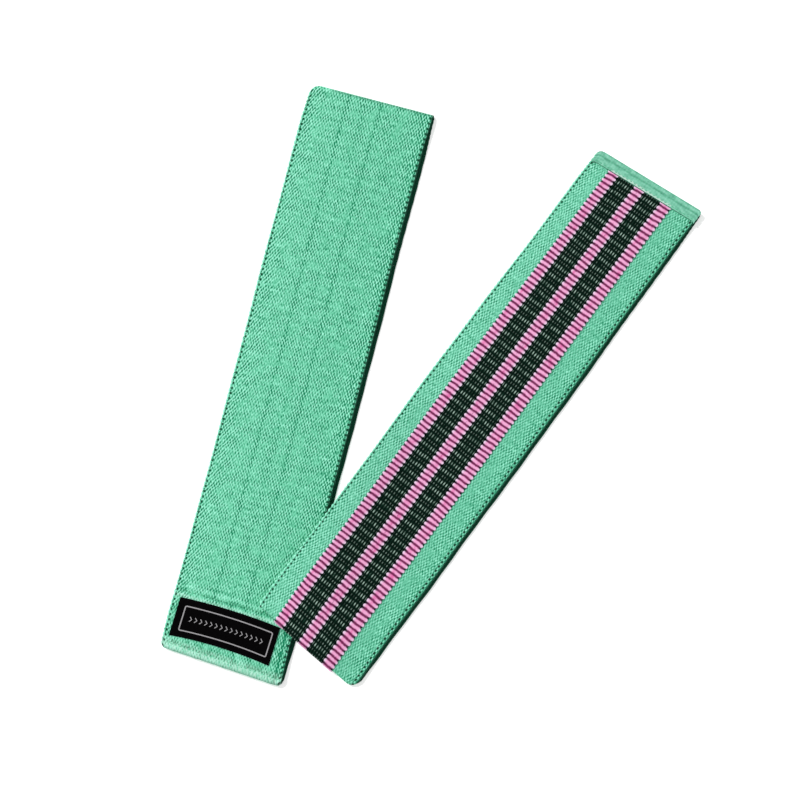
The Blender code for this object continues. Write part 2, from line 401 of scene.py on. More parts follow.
class Shade:
    """A material's node tree, with short ways to do sums in it."""

    def __init__(self, name, roughness, sheen=0.0, specular=0.1):
        self.material = bpy.data.materials.new(name)
        self.material.use_nodes = True
        self.tree = self.material.node_tree
        self.shader = self.tree.nodes["Principled BSDF"]
        self.shader.inputs["Roughness"].default_value = roughness
        self.shader.inputs["Specular IOR Level"].default_value = specular
        self.shader.inputs["Sheen Weight"].default_value = sheen

    def link(self, value, socket):
        if isinstance(value, bpy.types.NodeSocket):
            self.tree.links.new(value, socket)
        else:
            socket.default_value = value

    def sum(self, kind, a, b=0.0, c=0.0):
        node = self.tree.nodes.new("ShaderNodeMath")
        node.operation = kind
        for i, value in enumerate((a, b, c)):
            self.link(value, node.inputs[i])
        return node.outputs[0]

    def uv(self):
        node = self.tree.nodes.new("ShaderNodeUVMap")
        node.uv_map = "cloth"
        parts = self.tree.nodes.new("ShaderNodeSeparateXYZ")
        self.tree.links.new(node.outputs["UV"], parts.inputs[0])
        self.point = node.outputs["UV"]
        return parts.outputs["X"], parts.outputs["Y"]

    def noise(self, along, across, detail=2.0):
        """Noise from -1 to 1. along and across are features per metre."""
        stretch = self.tree.nodes.new("ShaderNodeVectorMath")
        stretch.operation = "MULTIPLY"
        stretch.inputs[1].default_value = (along, across, 1.0)
        self.tree.links.new(self.point, stretch.inputs[0])
        node = self.tree.nodes.new("ShaderNodeTexNoise")
        node.noise_dimensions = "2D"
        node.inputs["Scale"].default_value = 1.0
        node.inputs["Detail"].default_value = detail
        self.tree.links.new(stretch.outputs[0], node.inputs["Vector"])
        return self.sum("MULTIPLY_ADD", node.outputs["Fac"], 2.0, -1.0)

    def ramp(self, value, low, high, kind="SMOOTHSTEP"):
        """0 below low and 1 above high, or the other way round where low is the larger."""
        node = self.tree.nodes.new("ShaderNodeMapRange")
        node.interpolation_type = kind
        self.link(value, node.inputs["Value"])
        node.inputs["From Min"].default_value = low
        node.inputs["From Max"].default_value = high
        return node.outputs["Result"]

    def near(self, value, centre, reach):
        """1 at centre, falling to 0 a reach away from it."""
        away = self.sum("ABSOLUTE", self.sum("SUBTRACT", value, centre))
        return self.ramp(self.sum("SUBTRACT", reach, away), 0.0, reach)

    def spot(self, value, centre):
        """1 near centre, falling to 0 within 1 mm of it."""
        away = self.sum("ABSOLUTE", self.sum("SUBTRACT", value, centre))
        return self.ramp(away, 0.0010, 0.0004)

    def wave(self, value, pitch, phase=0.0):
        turns = self.sum("MULTIPLY_ADD", value, 2 * math.pi / pitch, phase)
        return self.sum("COSINE", turns)

    def mix(self, share, a, b):
        node = self.tree.nodes.new("ShaderNodeMix")
        node.data_type = "RGBA"
        self.link(share, node.inputs[0])
        for value, socket in ((a, node.inputs[6]), (b, node.inputs[7])):
            if isinstance(value, tuple):
                value = (*value, 1.0)
            self.link(value, socket)
        return node.outputs[2]

    def colour(self, value):
        if isinstance(value, tuple):
            value = (*value, 1.0)
        self.link(value, self.shader.inputs["Base Color"])

    def limited(self, value):
        return self.sum("MINIMUM", self.sum("MAXIMUM", value, 0.0), 1.0)

    def bump(self, height, distance):
        node = self.tree.nodes.new("ShaderNodeBump")
        node.inputs["Strength"].default_value = 1.0
        node.inputs["Distance"].default_value = distance
        self.tree.links.new(height, node.inputs["Height"])
        self.tree.links.new(node.outputs[0], self.shader.inputs["Normal"])


def three_tones(s, tone, dark, middle, light):
    """Colour from dark at 0 through middle at 0.5 to light at 1."""
    low = s.mix(s.ramp(tone, 0.0, 0.5, "LINEAR"), srgb(*dark), srgb(*middle))
    return s.mix(s.ramp(tone, 0.5, 1.0, "LINEAR"), low, srgb(*light))


def webbing_material(
    name, grooves, right_dots, contrast, lean, rolled, middle, under=False, sewn=False
):
    """Mint-green woven elastic: slanting stitches in rows, dark dots along both edges.

    right_dots is how far the dots are from the right edge. lean is how much one slant of
    the weave outweighs the other on the left side. rolled is how far the right edge rolls
    down into shade, and middle is the middle green. The right edge of an under layer has
    painted shade, and so has that of the cloth under the near fold, where U is below 0.
    """
    s = Shade(name, 0.9, 0.05)
    u, v = s.uv()
    u_in = s.sum("MULTIPLY_ADD", s.noise(240.0, 260.0), 0.0010, u)
    v_in = s.sum("MULTIPLY_ADD", s.noise(260.0, 240.0), 0.0005, v)
    rows = s.sum("MULTIPLY", u_in, 2 * math.pi / WEAVE_ALONG)
    columns = s.sum("MULTIPLY", v_in, 2 * math.pi / WEAVE_ACROSS)
    slant = s.sum("COSINE", s.sum("ADD", rows, columns))
    counter = s.sum("COSINE", s.sum("SUBTRACT", rows, columns))
    left = s.ramp(v, -0.022, -0.034)
    one = s.sum("MULTIPLY", slant, s.sum("MULTIPLY_ADD", left, -lean, 0.50 + lean / 3))
    two = s.sum("MULTIPLY", counter, s.sum("MULTIPLY_ADD", left, lean, 0.50 - lean / 3))
    patchy = s.sum("MULTIPLY_ADD", s.noise(150.0, 120.0), 1.0, 0.85)
    weave = s.sum("MULTIPLY", s.sum("ADD", one, two), patchy)
    strokes = s.noise(520.0, 1300.0, 1.0)
    ripple = s.noise(330.0, 110.0, 1.0)
    right = s.sum("SUBTRACT", HALF, v)
    rim = s.sum("MINIMUM", s.sum("ADD", HALF, v), right)
    firm = s.sum("MULTIPLY_ADD", s.ramp(rim, 0.015, 0.006), 0.45 * contrast, contrast)
    detail = s.sum("MULTIPLY_ADD", strokes, 0.50, s.sum("MULTIPLY", weave, 0.50))
    detail = s.sum("MULTIPLY_ADD", ripple, 0.16, detail)
    if sewn:
        puckered = s.ramp(u, 0.056, 0.036)
        detail = s.sum("MULTIPLY", detail, s.sum("MULTIPLY_ADD", puckered, -0.25, 1.0))
        blotches = s.sum("MULTIPLY", s.noise(210.0, 150.0), puckered)
        detail = s.sum("MULTIPLY_ADD", blotches, 0.42, detail)
    tone = s.sum("MULTIPLY_ADD", detail, firm, 0.50)
    tone = s.sum("MULTIPLY_ADD", v, -1.2, tone)
    # Painted shade along the lengthwise grooves, broken up by the weave.
    for groove, depth in grooves:
        mark = s.near(v_in, groove, GROOVE_REACH)
        gap = s.sum("MULTIPLY_ADD", strokes, -0.5, s.sum("MULTIPLY", weave, -1.0))
        gap = s.sum("MULTIPLY_ADD", s.ramp(gap, -0.3, 0.9), 0.9, 0.06)
        tone = s.sum("MULTIPLY_ADD", s.sum("MULTIPLY", mark, gap), -0.75 * depth, tone)
    # Painted shade towards the right edge, which rounds down away from the light.
    tone = s.sum("MULTIPLY_ADD", s.ramp(right, 0.0045, 0.0), -0.22, tone)
    if sewn:
        tone = sewn_tone(s, u, v, tone)
    tone = s.sum("MULTIPLY_ADD", s.ramp(rim, 0.0010, 0.0), 0.25, tone)
    green = three_tones(s, s.limited(tone), (18, 132, 92), middle, (168, 252, 222))
    if sewn:
        green = sewn_colour(s, u, v, green, strokes)
    dots = s.sum("MAXIMUM", s.spot(v, EDGE_DOTS - HALF), s.spot(right, right_dots))
    beat = s.ramp(s.wave(u, WEAVE_ALONG, math.pi), -0.2, 0.5)
    green = s.mix(s.sum("MULTIPLY", dots, beat), green, srgb(20, 66, 46))
    # Painted shade: the under layer's right edge in the shadow of the upper layer, and the rolled
    # right edge.
    shadow = s.ramp(right, 0.0036, 0.0022)
    if not under:
        shadow = s.sum("MULTIPLY", shadow, s.ramp(u, 0.0008, -0.0012))
    shadow = s.sum("MAXIMUM", shadow, s.ramp(right, rolled, rolled * 0.3))
    green = s.mix(shadow, green, srgb(20, 76, 55))
    s.colour(green)
    height = s.sum("MULTIPLY_ADD", strokes, 0.6, weave)
    s.bump(height, 0.00022 * contrast)
    return s.material


def sewn_tone(s, u, v, tone):
    """Tones the sewn end: a pale puffed end, painted shade in a groove, in dimpled stitches and
    in a side crease, and painted highlights on the puffs.
    """
    end = s.ramp(u, 0.0058, 0.0044)
    calmed = s.sum("MULTIPLY", tone, s.sum("MULTIPLY_ADD", end, -0.35, 1.0))
    tone = s.sum("ADD", calmed, s.sum("MULTIPLY", end, 0.36))
    wander = s.sum("MULTIPLY_ADD", s.noise(40.0, 60.0), 0.0012, u)
    # Painted shade in the groove past the puffed end and in the dimpled stitch row.
    for centre, reach, depth in ((PUFFED_END, 0.0012, 0.30), (SEAM_ROWS[1], 0.0018, 0.16)):
        broken = s.sum("MULTIPLY_ADD", s.noise(60.0, 330.0, 1.0), 0.9, 0.7)
        mark = s.sum("MULTIPLY", s.near(wander, centre, reach), broken)
        tone = s.sum("MULTIPLY_ADD", mark, -depth, tone)
    # Painted highlight on the puffs either side of the dimpled row.
    puff_highlight = s.sum("ADD", s.near(u, PUFFS[0], 0.0018), s.near(u, PUFFS[1], 0.0018))
    tone = s.sum("MULTIPLY_ADD", puff_highlight, 0.17, tone)
    # Painted shade in the side crease.
    crease = s.near(v, SIDE_CREASE_SHADE, 0.0014)
    crease = s.sum("MULTIPLY", crease, s.ramp(u, 0.040, 0.034))
    return s.sum("MULTIPLY_ADD", crease, -0.52, tone)


def sewn_colour(s, u, v, green, strokes):
    """Colours the label band's ends: painted shade along the far fold and the rolled near edge,
    pale cloth, and a painted highlight on the puff beside the upper row.
    """
    # Painted shade along the far fold's edge.
    fold_shade = s.ramp(u, LABEL.length - 0.0026, LABEL.length - 0.0014)
    fold_shade = s.sum("MULTIPLY", fold_shade, s.ramp(v, -0.030, -0.024))
    green = s.mix(s.sum("MULTIPLY", fold_shade, 0.45), green, srgb(40, 104, 78))
    near_end = s.sum("MULTIPLY", s.ramp(u, 0.0090, 0.0066), 0.26)
    veil = s.sum("MULTIPLY_ADD", s.ramp(u, 0.0058, 0.0040), 0.24, near_end)
    # Painted highlight on the puff beside the upper row.
    veil = s.sum("MULTIPLY_ADD", s.near(u, PALE_ROW, 0.0022), 0.30, veil)
    veil = s.sum("MULTIPLY", veil, s.ramp(strokes, -0.8, 0.5))
    green = s.mix(veil, green, srgb(216, 242, 231))
    # Painted shade along the rolled near edge.
    near_shade = s.sum("MULTIPLY", s.ramp(u, 0.0026, 0.0012), 0.40)
    return s.mix(near_shade, green, srgb(70, 140, 112))


def lining_material():
    """Grip lining: ribbed pink stripes and black stripes with pale rubber dashes."""
    s = Shade("striped_grip_lining", 0.9, 0.0, 0.02)
    u, v = s.uv()
    u_in = s.sum("MULTIPLY_ADD", s.noise(130.0, 160.0), 0.0006, u)
    v_in = s.sum("MULTIPLY_ADD", s.noise(200.0, 200.0), 0.00025, v)
    speckle = s.noise(900.0, 900.0, 2.0)
    wave = s.wave(u_in, RIB)
    rib = s.sum("MULTIPLY_ADD", speckle, 0.5, wave)
    hot = s.ramp(s.noise(140.0, 260.0), -0.1, 0.8)
    inside = 0.0
    rim = 0.0
    for low, high in PINK_STRIPES:
        centre, half = (low + high) / 2, (high - low) / 2
        away = s.sum("ABSOLUTE", s.sum("SUBTRACT", v_in, centre))
        away = s.sum("MULTIPLY_ADD", rib, -0.00035, away)
        inside = s.sum("ADD", inside, s.ramp(away, half + 0.0002, half - 0.0002))
        rim = s.sum("ADD", rim, s.near(away, half, 0.0022))
    rim = s.sum("MINIMUM", rim, 1.0)
    light = s.mix(hot, srgb(244, 172, 214), srgb(230, 108, 172))
    light = s.mix(s.sum("MULTIPLY", rim, 0.90), light, srgb(238, 218, 240))
    dark = s.mix(s.sum("MULTIPLY", rim, 0.90), srgb(118, 38, 84), srgb(36, 14, 40))
    pink = s.mix(s.ramp(rib, -0.95, 0.70), dark, light)

    # The black stripes lie either side of the middle pink one.
    half_way = (STRIPES[2] + STRIPES[3]) / 2
    second = s.ramp(v, half_way - 0.0005, half_way + 0.0005)
    first_black = (STRIPES[1] + STRIPES[2]) / 2
    second_black = (STRIPES[3] + STRIPES[4]) / 2
    centre = s.sum("MULTIPLY_ADD", second, second_black - first_black, first_black)
    across = s.sum("SUBTRACT", v_in, centre)
    column = s.sum("DIVIDE", across, DASH_COLUMN)
    strand = s.ramp(s.sum("COSINE", s.sum("MULTIPLY", column, 2 * math.pi)), 0.0, 0.9)
    strong = s.ramp(s.wave(u_in, 2 * RIB), 0.1, 0.85)
    weak = s.ramp(s.wave(u_in, RIB), 0.0, 0.9)
    dash = s.sum("MULTIPLY_ADD", weak, 0.45, s.sum("MULTIPLY", strong, 0.75))
    patchy = s.ramp(s.noise(260.0, 420.0, 1.0), -0.6, 0.5)
    body = s.ramp(s.sum("ABSOLUTE", across), 0.0062, 0.0050)
    pale = s.sum("MULTIPLY", s.sum("MULTIPLY", strand, dash), patchy)
    pale = s.sum("MULTIPLY", pale, body)

    ground = s.sum("MULTIPLY_ADD", s.ramp(rib, -0.8, 0.7), 0.45, 0.55)
    ground = s.sum("MULTIPLY", ground, s.sum("MULTIPLY_ADD", strand, 0.7, 0.3))
    grouped = s.ramp(s.wave(u_in, 2 * RIB), -1.0, -0.2)
    ground = s.sum("MULTIPLY", ground, s.sum("MULTIPLY_ADD", grouped, 0.6, 0.4))
    ground = s.sum("MULTIPLY", body, ground)
    black = s.mix(ground, srgb(2, 7, 6), srgb(22, 56, 42))
    black = s.mix(s.sum("MINIMUM", pale, 1.0), black, srgb(164, 190, 176))
    s.colour(s.mix(s.sum("MINIMUM", inside, 1.0), black, pink))
    s.bump(s.sum("MULTIPLY_ADD", pale, 1.5, speckle), 0.00008)
    return s.material


def plain_material(name, colour, roughness, grain=0.12, specular=0.1):
    s = Shade(name, roughness, 0.0, specular)
    s.uv()
    dark = tuple(c * (1 - grain) for c in colour)
    light = tuple(min(1.0, c * (1 + grain)) for c in colour)
    s.colour(s.mix(s.ramp(s.noise(900.0, 900.0), -0.6, 0.6), dark, light))
    return s.material


def hem_cloth_material():
    """The sewn-down end: smoother and paler than the webbing, with the lining's ends frayed."""
    s = Shade("green_seam_hem", 0.9, 0.1)
    u, v = s.uv()
    tone = s.sum("MULTIPLY_ADD", s.noise(500.0, 250.0), 0.45, 0.5)
    tone = s.sum("MULTIPLY_ADD", s.wave(v, WEAVE_ACROSS), 0.05, tone)
    depth = s.sum("SUBTRACT", GRIP.length, u)
    wander = s.sum("MULTIPLY_ADD", s.noise(60.0, 60.0), 0.0004, depth)
    # Painted shade in the groove by the outer stitch row and along the folded end edge.
    tone = s.sum("MULTIPLY_ADD", s.near(wander, HEM_GROOVE, 0.0010), -0.26, tone)
    tone = s.sum("MULTIPLY_ADD", s.ramp(depth, 0.0018, 0.0008), -0.22, tone)
    cloth = three_tones(s, tone, (74, 146, 120), (122, 198, 168), (164, 226, 204))
    frayed = s.sum("MULTIPLY_ADD", s.noise(300.0, 500.0), 0.0008, depth)
    fray = s.near(frayed, FRAYED_ROW, 0.0011)
    among = s.ramp(s.sum("ABSOLUTE", s.sum("ADD", v, 0.0022)), 0.0240, 0.0225)
    fray = s.sum("MULTIPLY", s.sum("MULTIPLY", fray, among), 0.75)
    s.colour(s.mix(fray, cloth, srgb(214, 236, 226)))
    s.bump(tone, 0.0002)
    return s.material


OUTER_GREEN = (110, 208, 168)
INNER_GREEN = (108, 200, 164)
web_material = webbing_material(
    "green_elastic_webbing", GROOVES, right_dots=EDGE_DOTS, contrast=1.06, lean=0.15,
    rolled=0.0006, middle=OUTER_GREEN, sewn=True,
)
under_material = webbing_material(
    "green_webbing_under_layer", (), right_dots=EDGE_DOTS, contrast=0.8, lean=0.1,
    rolled=0.0006, middle=OUTER_GREEN, under=True,
)
inner_material = webbing_material(
    "green_webbing_inner_side", (), right_dots=0.0026, contrast=0.72, lean=0.0,
    rolled=0.0013, middle=INNER_GREEN,
)
grip_material = lining_material()
hem_material = hem_cloth_material()
label_material = plain_material("black_woven_label", srgb(6, 5, 6), 0.9, 0.3, 0.02)
label_thread_material = plain_material("black_label_thread", srgb(14, 13, 14), 0.8, 0.3, 0.02)
mark_material = plain_material("grey_woven_mark", srgb(158, 156, 158), 0.8)
thread_material = plain_material("green_sewing_thread", srgb(96, 190, 150), 0.7)


# Cloth of both loops.


def stand_for(ob, slot_name, *nodes):
    """Hides the CAD nodes that a piece stands for. slot_name is not used."""
    if nodes:
        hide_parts(*nodes)


def bend(ob, band, a, b, start, end, skew=0.0):
    """Bakes the piece's transform into its mesh. band, a, b, start, end and skew are not used."""
    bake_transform(ob)


def zone(joint, reach):
    """Where cloth bends over a joint, as (start, end) along the band."""
    return joint + reach[0], joint + reach[1]


def loop_cloth(band, part, height, columns, thick, materials, relief, step, wave, ends):
    """One layer of a loop as six pieces.

    height is the middle of the lower run. materials are those of the upper and lower run.
    relief and step are those of the upper run. ends are how far the layer stops short of
    the near and far end, or None where it turns round the fold.
    """
    near, far = ends
    high = THICK - height
    prefix = f"{band.name}_{part}_"
    first_cut = band.bend + FIRST_CUT
    second_cut = band.rise_end + SECOND_CUT
    low_cut = band.low_bend + LOW_CUT

    def add(name, path, nodes, bends, surface):
        top = relief if surface else None
        material = materials[0] if surface else materials[1]
        ob = sheet_mesh(prefix + name, band, path, columns, thick, material, top, wave)
        stand_for(ob, part, *nodes)
        bend(ob, band, *bends)

    # Lower run, from the near end to the far fold.
    start = NEAR_RUN if near is None else near
    path = run(start, low_cut - CUT, height, COARSE)
    nodes = [prefix + "lower_near", prefix + "lower_middle"]
    bends = ("base", "lower_middle", *band.lower_stretch)
    add("lower_stretch", path, nodes, bends, False)

    path = run(low_cut + CUT, band.fold_cut - CUT, height, BEND_STEP)
    nodes = [prefix + "lower_far"]
    bends = ("lower_middle", "lower_far", *zone(band.low_bend, RISING))
    add("lower_bend", path, nodes, bends, False)

    path = run(band.fold_cut + CUT, band.length - (far or MID), height, FOLD_STEP)
    nodes = []
    if far is None:
        path += turn(band, height, -90, -0.4)
        nodes = [prefix + "far_fold"]
    add("lower_fold", path, nodes, band.fold_bends, False)

    # Upper run, starting round the near fold.
    path = run(start, first_cut - CUT, high, step)
    nodes = [prefix + "upper_base"]
    if near is None:
        low = run(NEAR_RUN - CUT, MID, height, COARSE)
        low = [(-p[0], p[1], p[2], p[3] + 2 * math.pi) for p in low]
        arc = turn(band, high, 270, 90)
        path = low + arc + run(MID, first_cut - CUT, high, step)[1:]
        nodes.append(prefix + "near_fold")
        start = -NEAR_RUN
    bends = ("base", "upper_near", *zone(band.bend, RISING))
    add("upper_start", path, nodes, bends, True)

    path = run(first_cut + CUT, second_cut - CUT, high, step)
    nodes = [prefix + "upper_near", prefix + "upper_middle"]
    bends = ("upper_near", "upper_middle", *zone(band.rise_end, LEVELLING))
    add("upper_bend", path, nodes, bends, True)

    path = run(second_cut + CUT, band.length - (far or MID), high, step)
    if far is None:
        path += turn(band, high, 90, 0.4)
    bends = ("upper_middle", "upper_far", *band.upper_stretch)
    add("upper_stretch", path, [prefix + "upper_far"], bends, True)


def selvedge(along, x):
    """Loops along the woven edge, on a band edge that is never quite straight."""
    side = 1.0 if x > 0 else -1.0
    reach = SELVEDGE_LOOPS[1] if x > 0 else SELVEDGE_LOOPS[0]
    loops = reach * math.cos(2 * math.pi * along / WEAVE_ALONG)
    drift = DRIFT * math.sin(2 * math.pi * along / DRIFT_PITCHES[0] + side)
    drift += DRIFT * math.sin(2 * math.pi * along / DRIFT_PITCHES[1] + 2 * side)
    return side * loops + drift


def scallops(along, x):
    """Light ribs of the lining reach further over the webbing than dark ones."""
    side = 1.0 if x > 0 else -1.0
    return side * SCALLOPS * math.cos(2 * math.pi * along / RIB)


def hollow(value, centre, reach):
    """1 at centre, falling straight to 0 a reach away from it."""
    return max(0.0, 1 - abs(value - centre) / reach)


def webbing_relief(along, x):
    """Shallow lengthwise grooves, a dimpled row of stitches and a puffed sewn end."""
    up = 0.0
    for groove, depth in GROOVES:
        up -= GROOVE_DEPTH * depth * hollow(x, groove, GROOVE_REACH)
    up += 0.00012 * noise.noise(Vector((along * 220, x * 90, 3.0)))
    if along < PUFFED_END:
        up += PUFF_HEIGHT * math.sin(math.pi * max(0.0, along) / PUFFED_END)
        up += 0.00022 * noise.noise(Vector((along * 400, x * 260, 7.0)))
    row = SEAM_ROWS[1] + 0.0010 * noise.noise(Vector((x * 60, 5.0, 5.0)))
    up -= ROW_DEPTH * hollow(along, row, 0.0020)
    crease = hollow(x, SIDE_CREASE, 0.0012) * (1 - smooth((along - 0.03) / 0.02))
    return up - CREASE_DEPTH * crease


def quiet_relief(along, x):
    """The inner side is nearly flat."""
    return 0.00008 * noise.noise(Vector((along * 160, x * 120, 9.0)))


def rib_relief(along, x):
    """Rounded ribs across the pink stripes, small strands on the black ones."""
    for low, high in PINK_STRIPES:
        if low <= x <= high:
            edge = min(x - low, high - x)
            swell = smooth(edge / 0.0008)
            return RIB_HEIGHT * swell * (0.5 + 0.5 * math.cos(2 * math.pi * along / RIB))
    return 0.00005 * math.cos(2 * math.pi * along / RIB) - 0.00008


web_columns = even(-HALF, HALF, 44)
lining_columns = []
for low, high, count in zip(STRIPES[:-1], STRIPES[1:], (6, 10, 6, 10, 6)):
    lining_columns += even(low, high, count)[:-1]
lining_columns.append(STRIPES[-1])
flipped_columns = [-x for x in reversed(lining_columns)]

loop_cloth(
    LABEL, "webbing", WEB_OUT, web_columns, WEB, materials=(web_material, under_material),
    relief=webbing_relief, step=WEAVE_ALONG / 6, wave=selvedge, ends=(None, None),
)
loop_cloth(
    LABEL, "grip_lining", LINING_IN, flipped_columns, LINING,
    materials=(grip_material, grip_material), relief=None, step=0.003, wave=None,
    ends=(0.010, None),
)
loop_cloth(
    GRIP, "webbing", WEB_IN, web_columns, WEB, materials=(inner_material, under_material),
    relief=quiet_relief, step=WEAVE_ALONG / 6, wave=selvedge, ends=(None, None),
)
loop_cloth(
    GRIP, "grip_lining", LINING_OUT, lining_columns, LINING,
    materials=(grip_material, grip_material), relief=rib_relief, step=RIB / 6, wave=scallops,
    ends=(None, 0.0095),
)

# Label, seams and stitching.

# LABEL_CENTRE is the label's middle, measured from ORIGIN. Lifts are from a loop's top.
TOP = THICK
LABEL_HALF = (0.0336, 0.0128)
LABEL_CENTRE = (-0.0026, 0.0211)
LABEL_TURN = math.radians(-2.2)
LABEL_THICK = 0.0005
LABEL_LIFT = 0.00035
MARK_LIFT = LABEL_LIFT + LABEL_THICK + 0.00004
MARK_THICK = 0.00008
FRAME_HALF = (0.0293, 0.0081)
FRAME_SHIFT = (0.0007, -0.0002)
FRAME_WIDTH = 0.00075
CHEVRONS = 15
CHEVRON_START = -0.0231
CHEVRON_PITCH = 0.0034
CHEVRON_HALF = (0.0007, 0.0016)
CHEVRON_WIDTH = 0.00055
BORDER_INSET = 0.0011
BORDER_PITCH = 0.0026
SEAM_PITCH = 0.0030
SEAM_SHARE = 0.6
THREAD = 0.00022
SEAM_THREAD = 0.00024
ROW_EDGE = HALF - 0.002
UPPER_ROW_END = (0.0300, 0.0404)

# The grip band's label lies face down on its lower layer.
HIDDEN_HALF = (0.0337, 0.01275)
HIDDEN_SHIFT = 0.0021
HIDDEN_HEIGHT = 0.0026
HIDDEN_THICK = 0.0004


def on_label(x, y, lift):
    """Scene point on the label, which is turned a little and bows along its middle."""
    y += (1 - (x / LABEL_HALF[0]) ** 2) * (0.0017 - 0.0003 * y / LABEL_HALF[1])
    turned_x = x * math.cos(LABEL_TURN) - y * math.sin(LABEL_TURN)
    turned_y = x * math.sin(LABEL_TURN) + y * math.cos(LABEL_TURN)
    wave = 0.0001 * noise.noise(Vector((x * 90, y * 90, 1.0)))
    point = (LABEL_CENTRE[0] + turned_x, LABEL_CENTRE[1] + turned_y, TOP + lift + wave)
    return ORIGIN + Vector(point)


def flat_patch(name, point, outline_x, outline_y, base, thick, material):
    """Closed rectangular patch on a grid, placed by a function of (x, y, height)."""
    nx, ny = len(outline_x), len(outline_y)
    verts = []
    uvs = []
    for lift in (base, base + thick):
        for y in outline_y:
            for x in outline_x:
                verts.append(point(x, y, lift))
                uvs.append((y, x))
    layer = nx * ny
    faces = []
    for j in range(ny - 1):
        for i in range(nx - 1):
            a = j * nx + i
            faces.append((a, a + nx, a + nx + 1, a + 1))
            faces.append(tuple(layer + k for k in (a, a + 1, a + nx + 1, a + nx)))
    rim = list(range(nx))
    rim += [j * nx + nx - 1 for j in range(1, ny)]
    rim += [(ny - 1) * nx + i for i in reversed(range(nx - 1))]
    rim += [j * nx for j in reversed(range(1, ny - 1))]
    for k, a in enumerate(rim):
        b = rim[(k + 1) % len(rim)]
        faces.append((a, b, layer + b, layer + a))
    return mesh_object(name, verts, faces, material, uvs)


def verts_uv(verts):
    """UV in metres for small pieces, taken straight from above."""
    return [(v[0], v[1]) for v in verts]


def rounded_rectangle(half_x, half_y, radius, steps=5):
    """Outline round the origin, with steps points on each corner."""
    points = []
    for sx, sy, start in ((1, -1, -90), (1, 1, 0), (-1, 1, 90), (-1, -1, 180)):
        for step in range(steps):
            angle = math.radians(start + 90 * step / (steps - 1))
            x = sx * (half_x - radius) + radius * math.cos(angle)
            y = sy * (half_y - radius) + radius * math.sin(angle)
            points.append((x, y))
    return points


def spaced(points, pitch):
    """Points along a closed line about a pitch apart, so that it can follow a bow."""
    out = []
    for i, a in enumerate(points):
        b = points[(i + 1) % len(points)]
        steps = max(1, round(math.dist(a, b) / pitch))
        for k in range(steps):
            out.append((a[0] + (b[0] - a[0]) * k / steps, a[1] + (b[1] - a[1]) * k / steps))
    return out


def ribbon(verts, faces, line, point, width, base, thick, closed):
    """Adds a flat line of woven thread to a mesh that is being built."""
    start = len(verts)
    total = len(line)
    for i, here in enumerate(line):
        after = line[(i + 1) % total] if closed or i < total - 1 else here
        before = line[i - 1] if closed or i > 0 else here
        dx, dy = after[0] - before[0], after[1] - before[1]
        size = math.hypot(dx, dy) or 1.0
        nx, ny = -dy / size * width / 2, dx / size * width / 2
        verts.append(point(here[0] - nx, here[1] - ny, base))
        verts.append(point(here[0] + nx, here[1] + ny, base))
        verts.append(point(here[0] + nx, here[1] + ny, base + thick))
        verts.append(point(here[0] - nx, here[1] - ny, base + thick))
    segments = total if closed else total - 1
    for i in range(segments):
        a = start + 4 * i
        b = start + 4 * ((i + 1) % total)
        for k in range(4):
            n = (k + 1) % 4
            faces.append((a + k, b + k, b + n, a + n))
    if not closed:
        last = start + 4 * (total - 1)
        faces.append((start, start + 1, start + 2, start + 3))
        faces.append((last + 3, last + 2, last + 1, last))


def stitch_row(name, spots, point, base, radius, material):
    """Separate short stitches: each is a rounded thread that dips in at both ends."""
    verts = []
    faces = []
    steps = 6
    sides = 6
    for (x0, y0), (x1, y1) in spots:
        start = len(verts)
        size = math.dist((x0, y0), (x1, y1))
        nx, ny = -(y1 - y0) / size, (x1 - x0) / size
        for t in even(0.0, 1.0, steps):
            wide = radius * (0.35 + 0.65 * math.sin(math.pi * t) ** 0.5)
            lift = base + radius * (1.1 * math.sin(math.pi * t) - 0.2)
            x, y = x0 + (x1 - x0) * t, y0 + (y1 - y0) * t
            for k in range(sides):
                angle = 2 * math.pi * k / sides
                off = wide * math.cos(angle)
                verts.append(point(x + nx * off, y + ny * off, lift + wide * math.sin(angle)))
        for i in range(steps):
            a = start + sides * i
            b = a + sides
            for k in range(sides):
                n = (k + 1) % sides
                faces.append((a + k, b + k, b + n, a + n))
        last = start + sides * steps
        faces.append(tuple(start + k for k in range(sides)))
        faces.append(tuple(last + k for k in reversed(range(sides))))
    return mesh_object(name, verts, faces, material, verts_uv(verts), smooth_angle=60)


def stitches_along(points, closed, pitch, share):
    """Stitch ends along a line, each a share of the pitch long."""
    spots = []
    total = len(points) if closed else len(points) - 1
    for i in range(total):
        a, b = points[i], points[(i + 1) % len(points)]
        count = max(1, round(math.dist(a, b) / pitch))
        for k in range(count):
            ends = (k + 0.5 - share / 2) / count, (k + 0.5 + share / 2) / count
            spots.append([(a[0] + (b[0] - a[0]) * t, a[1] + (b[1] - a[1]) * t) for t in ends])
    return spots


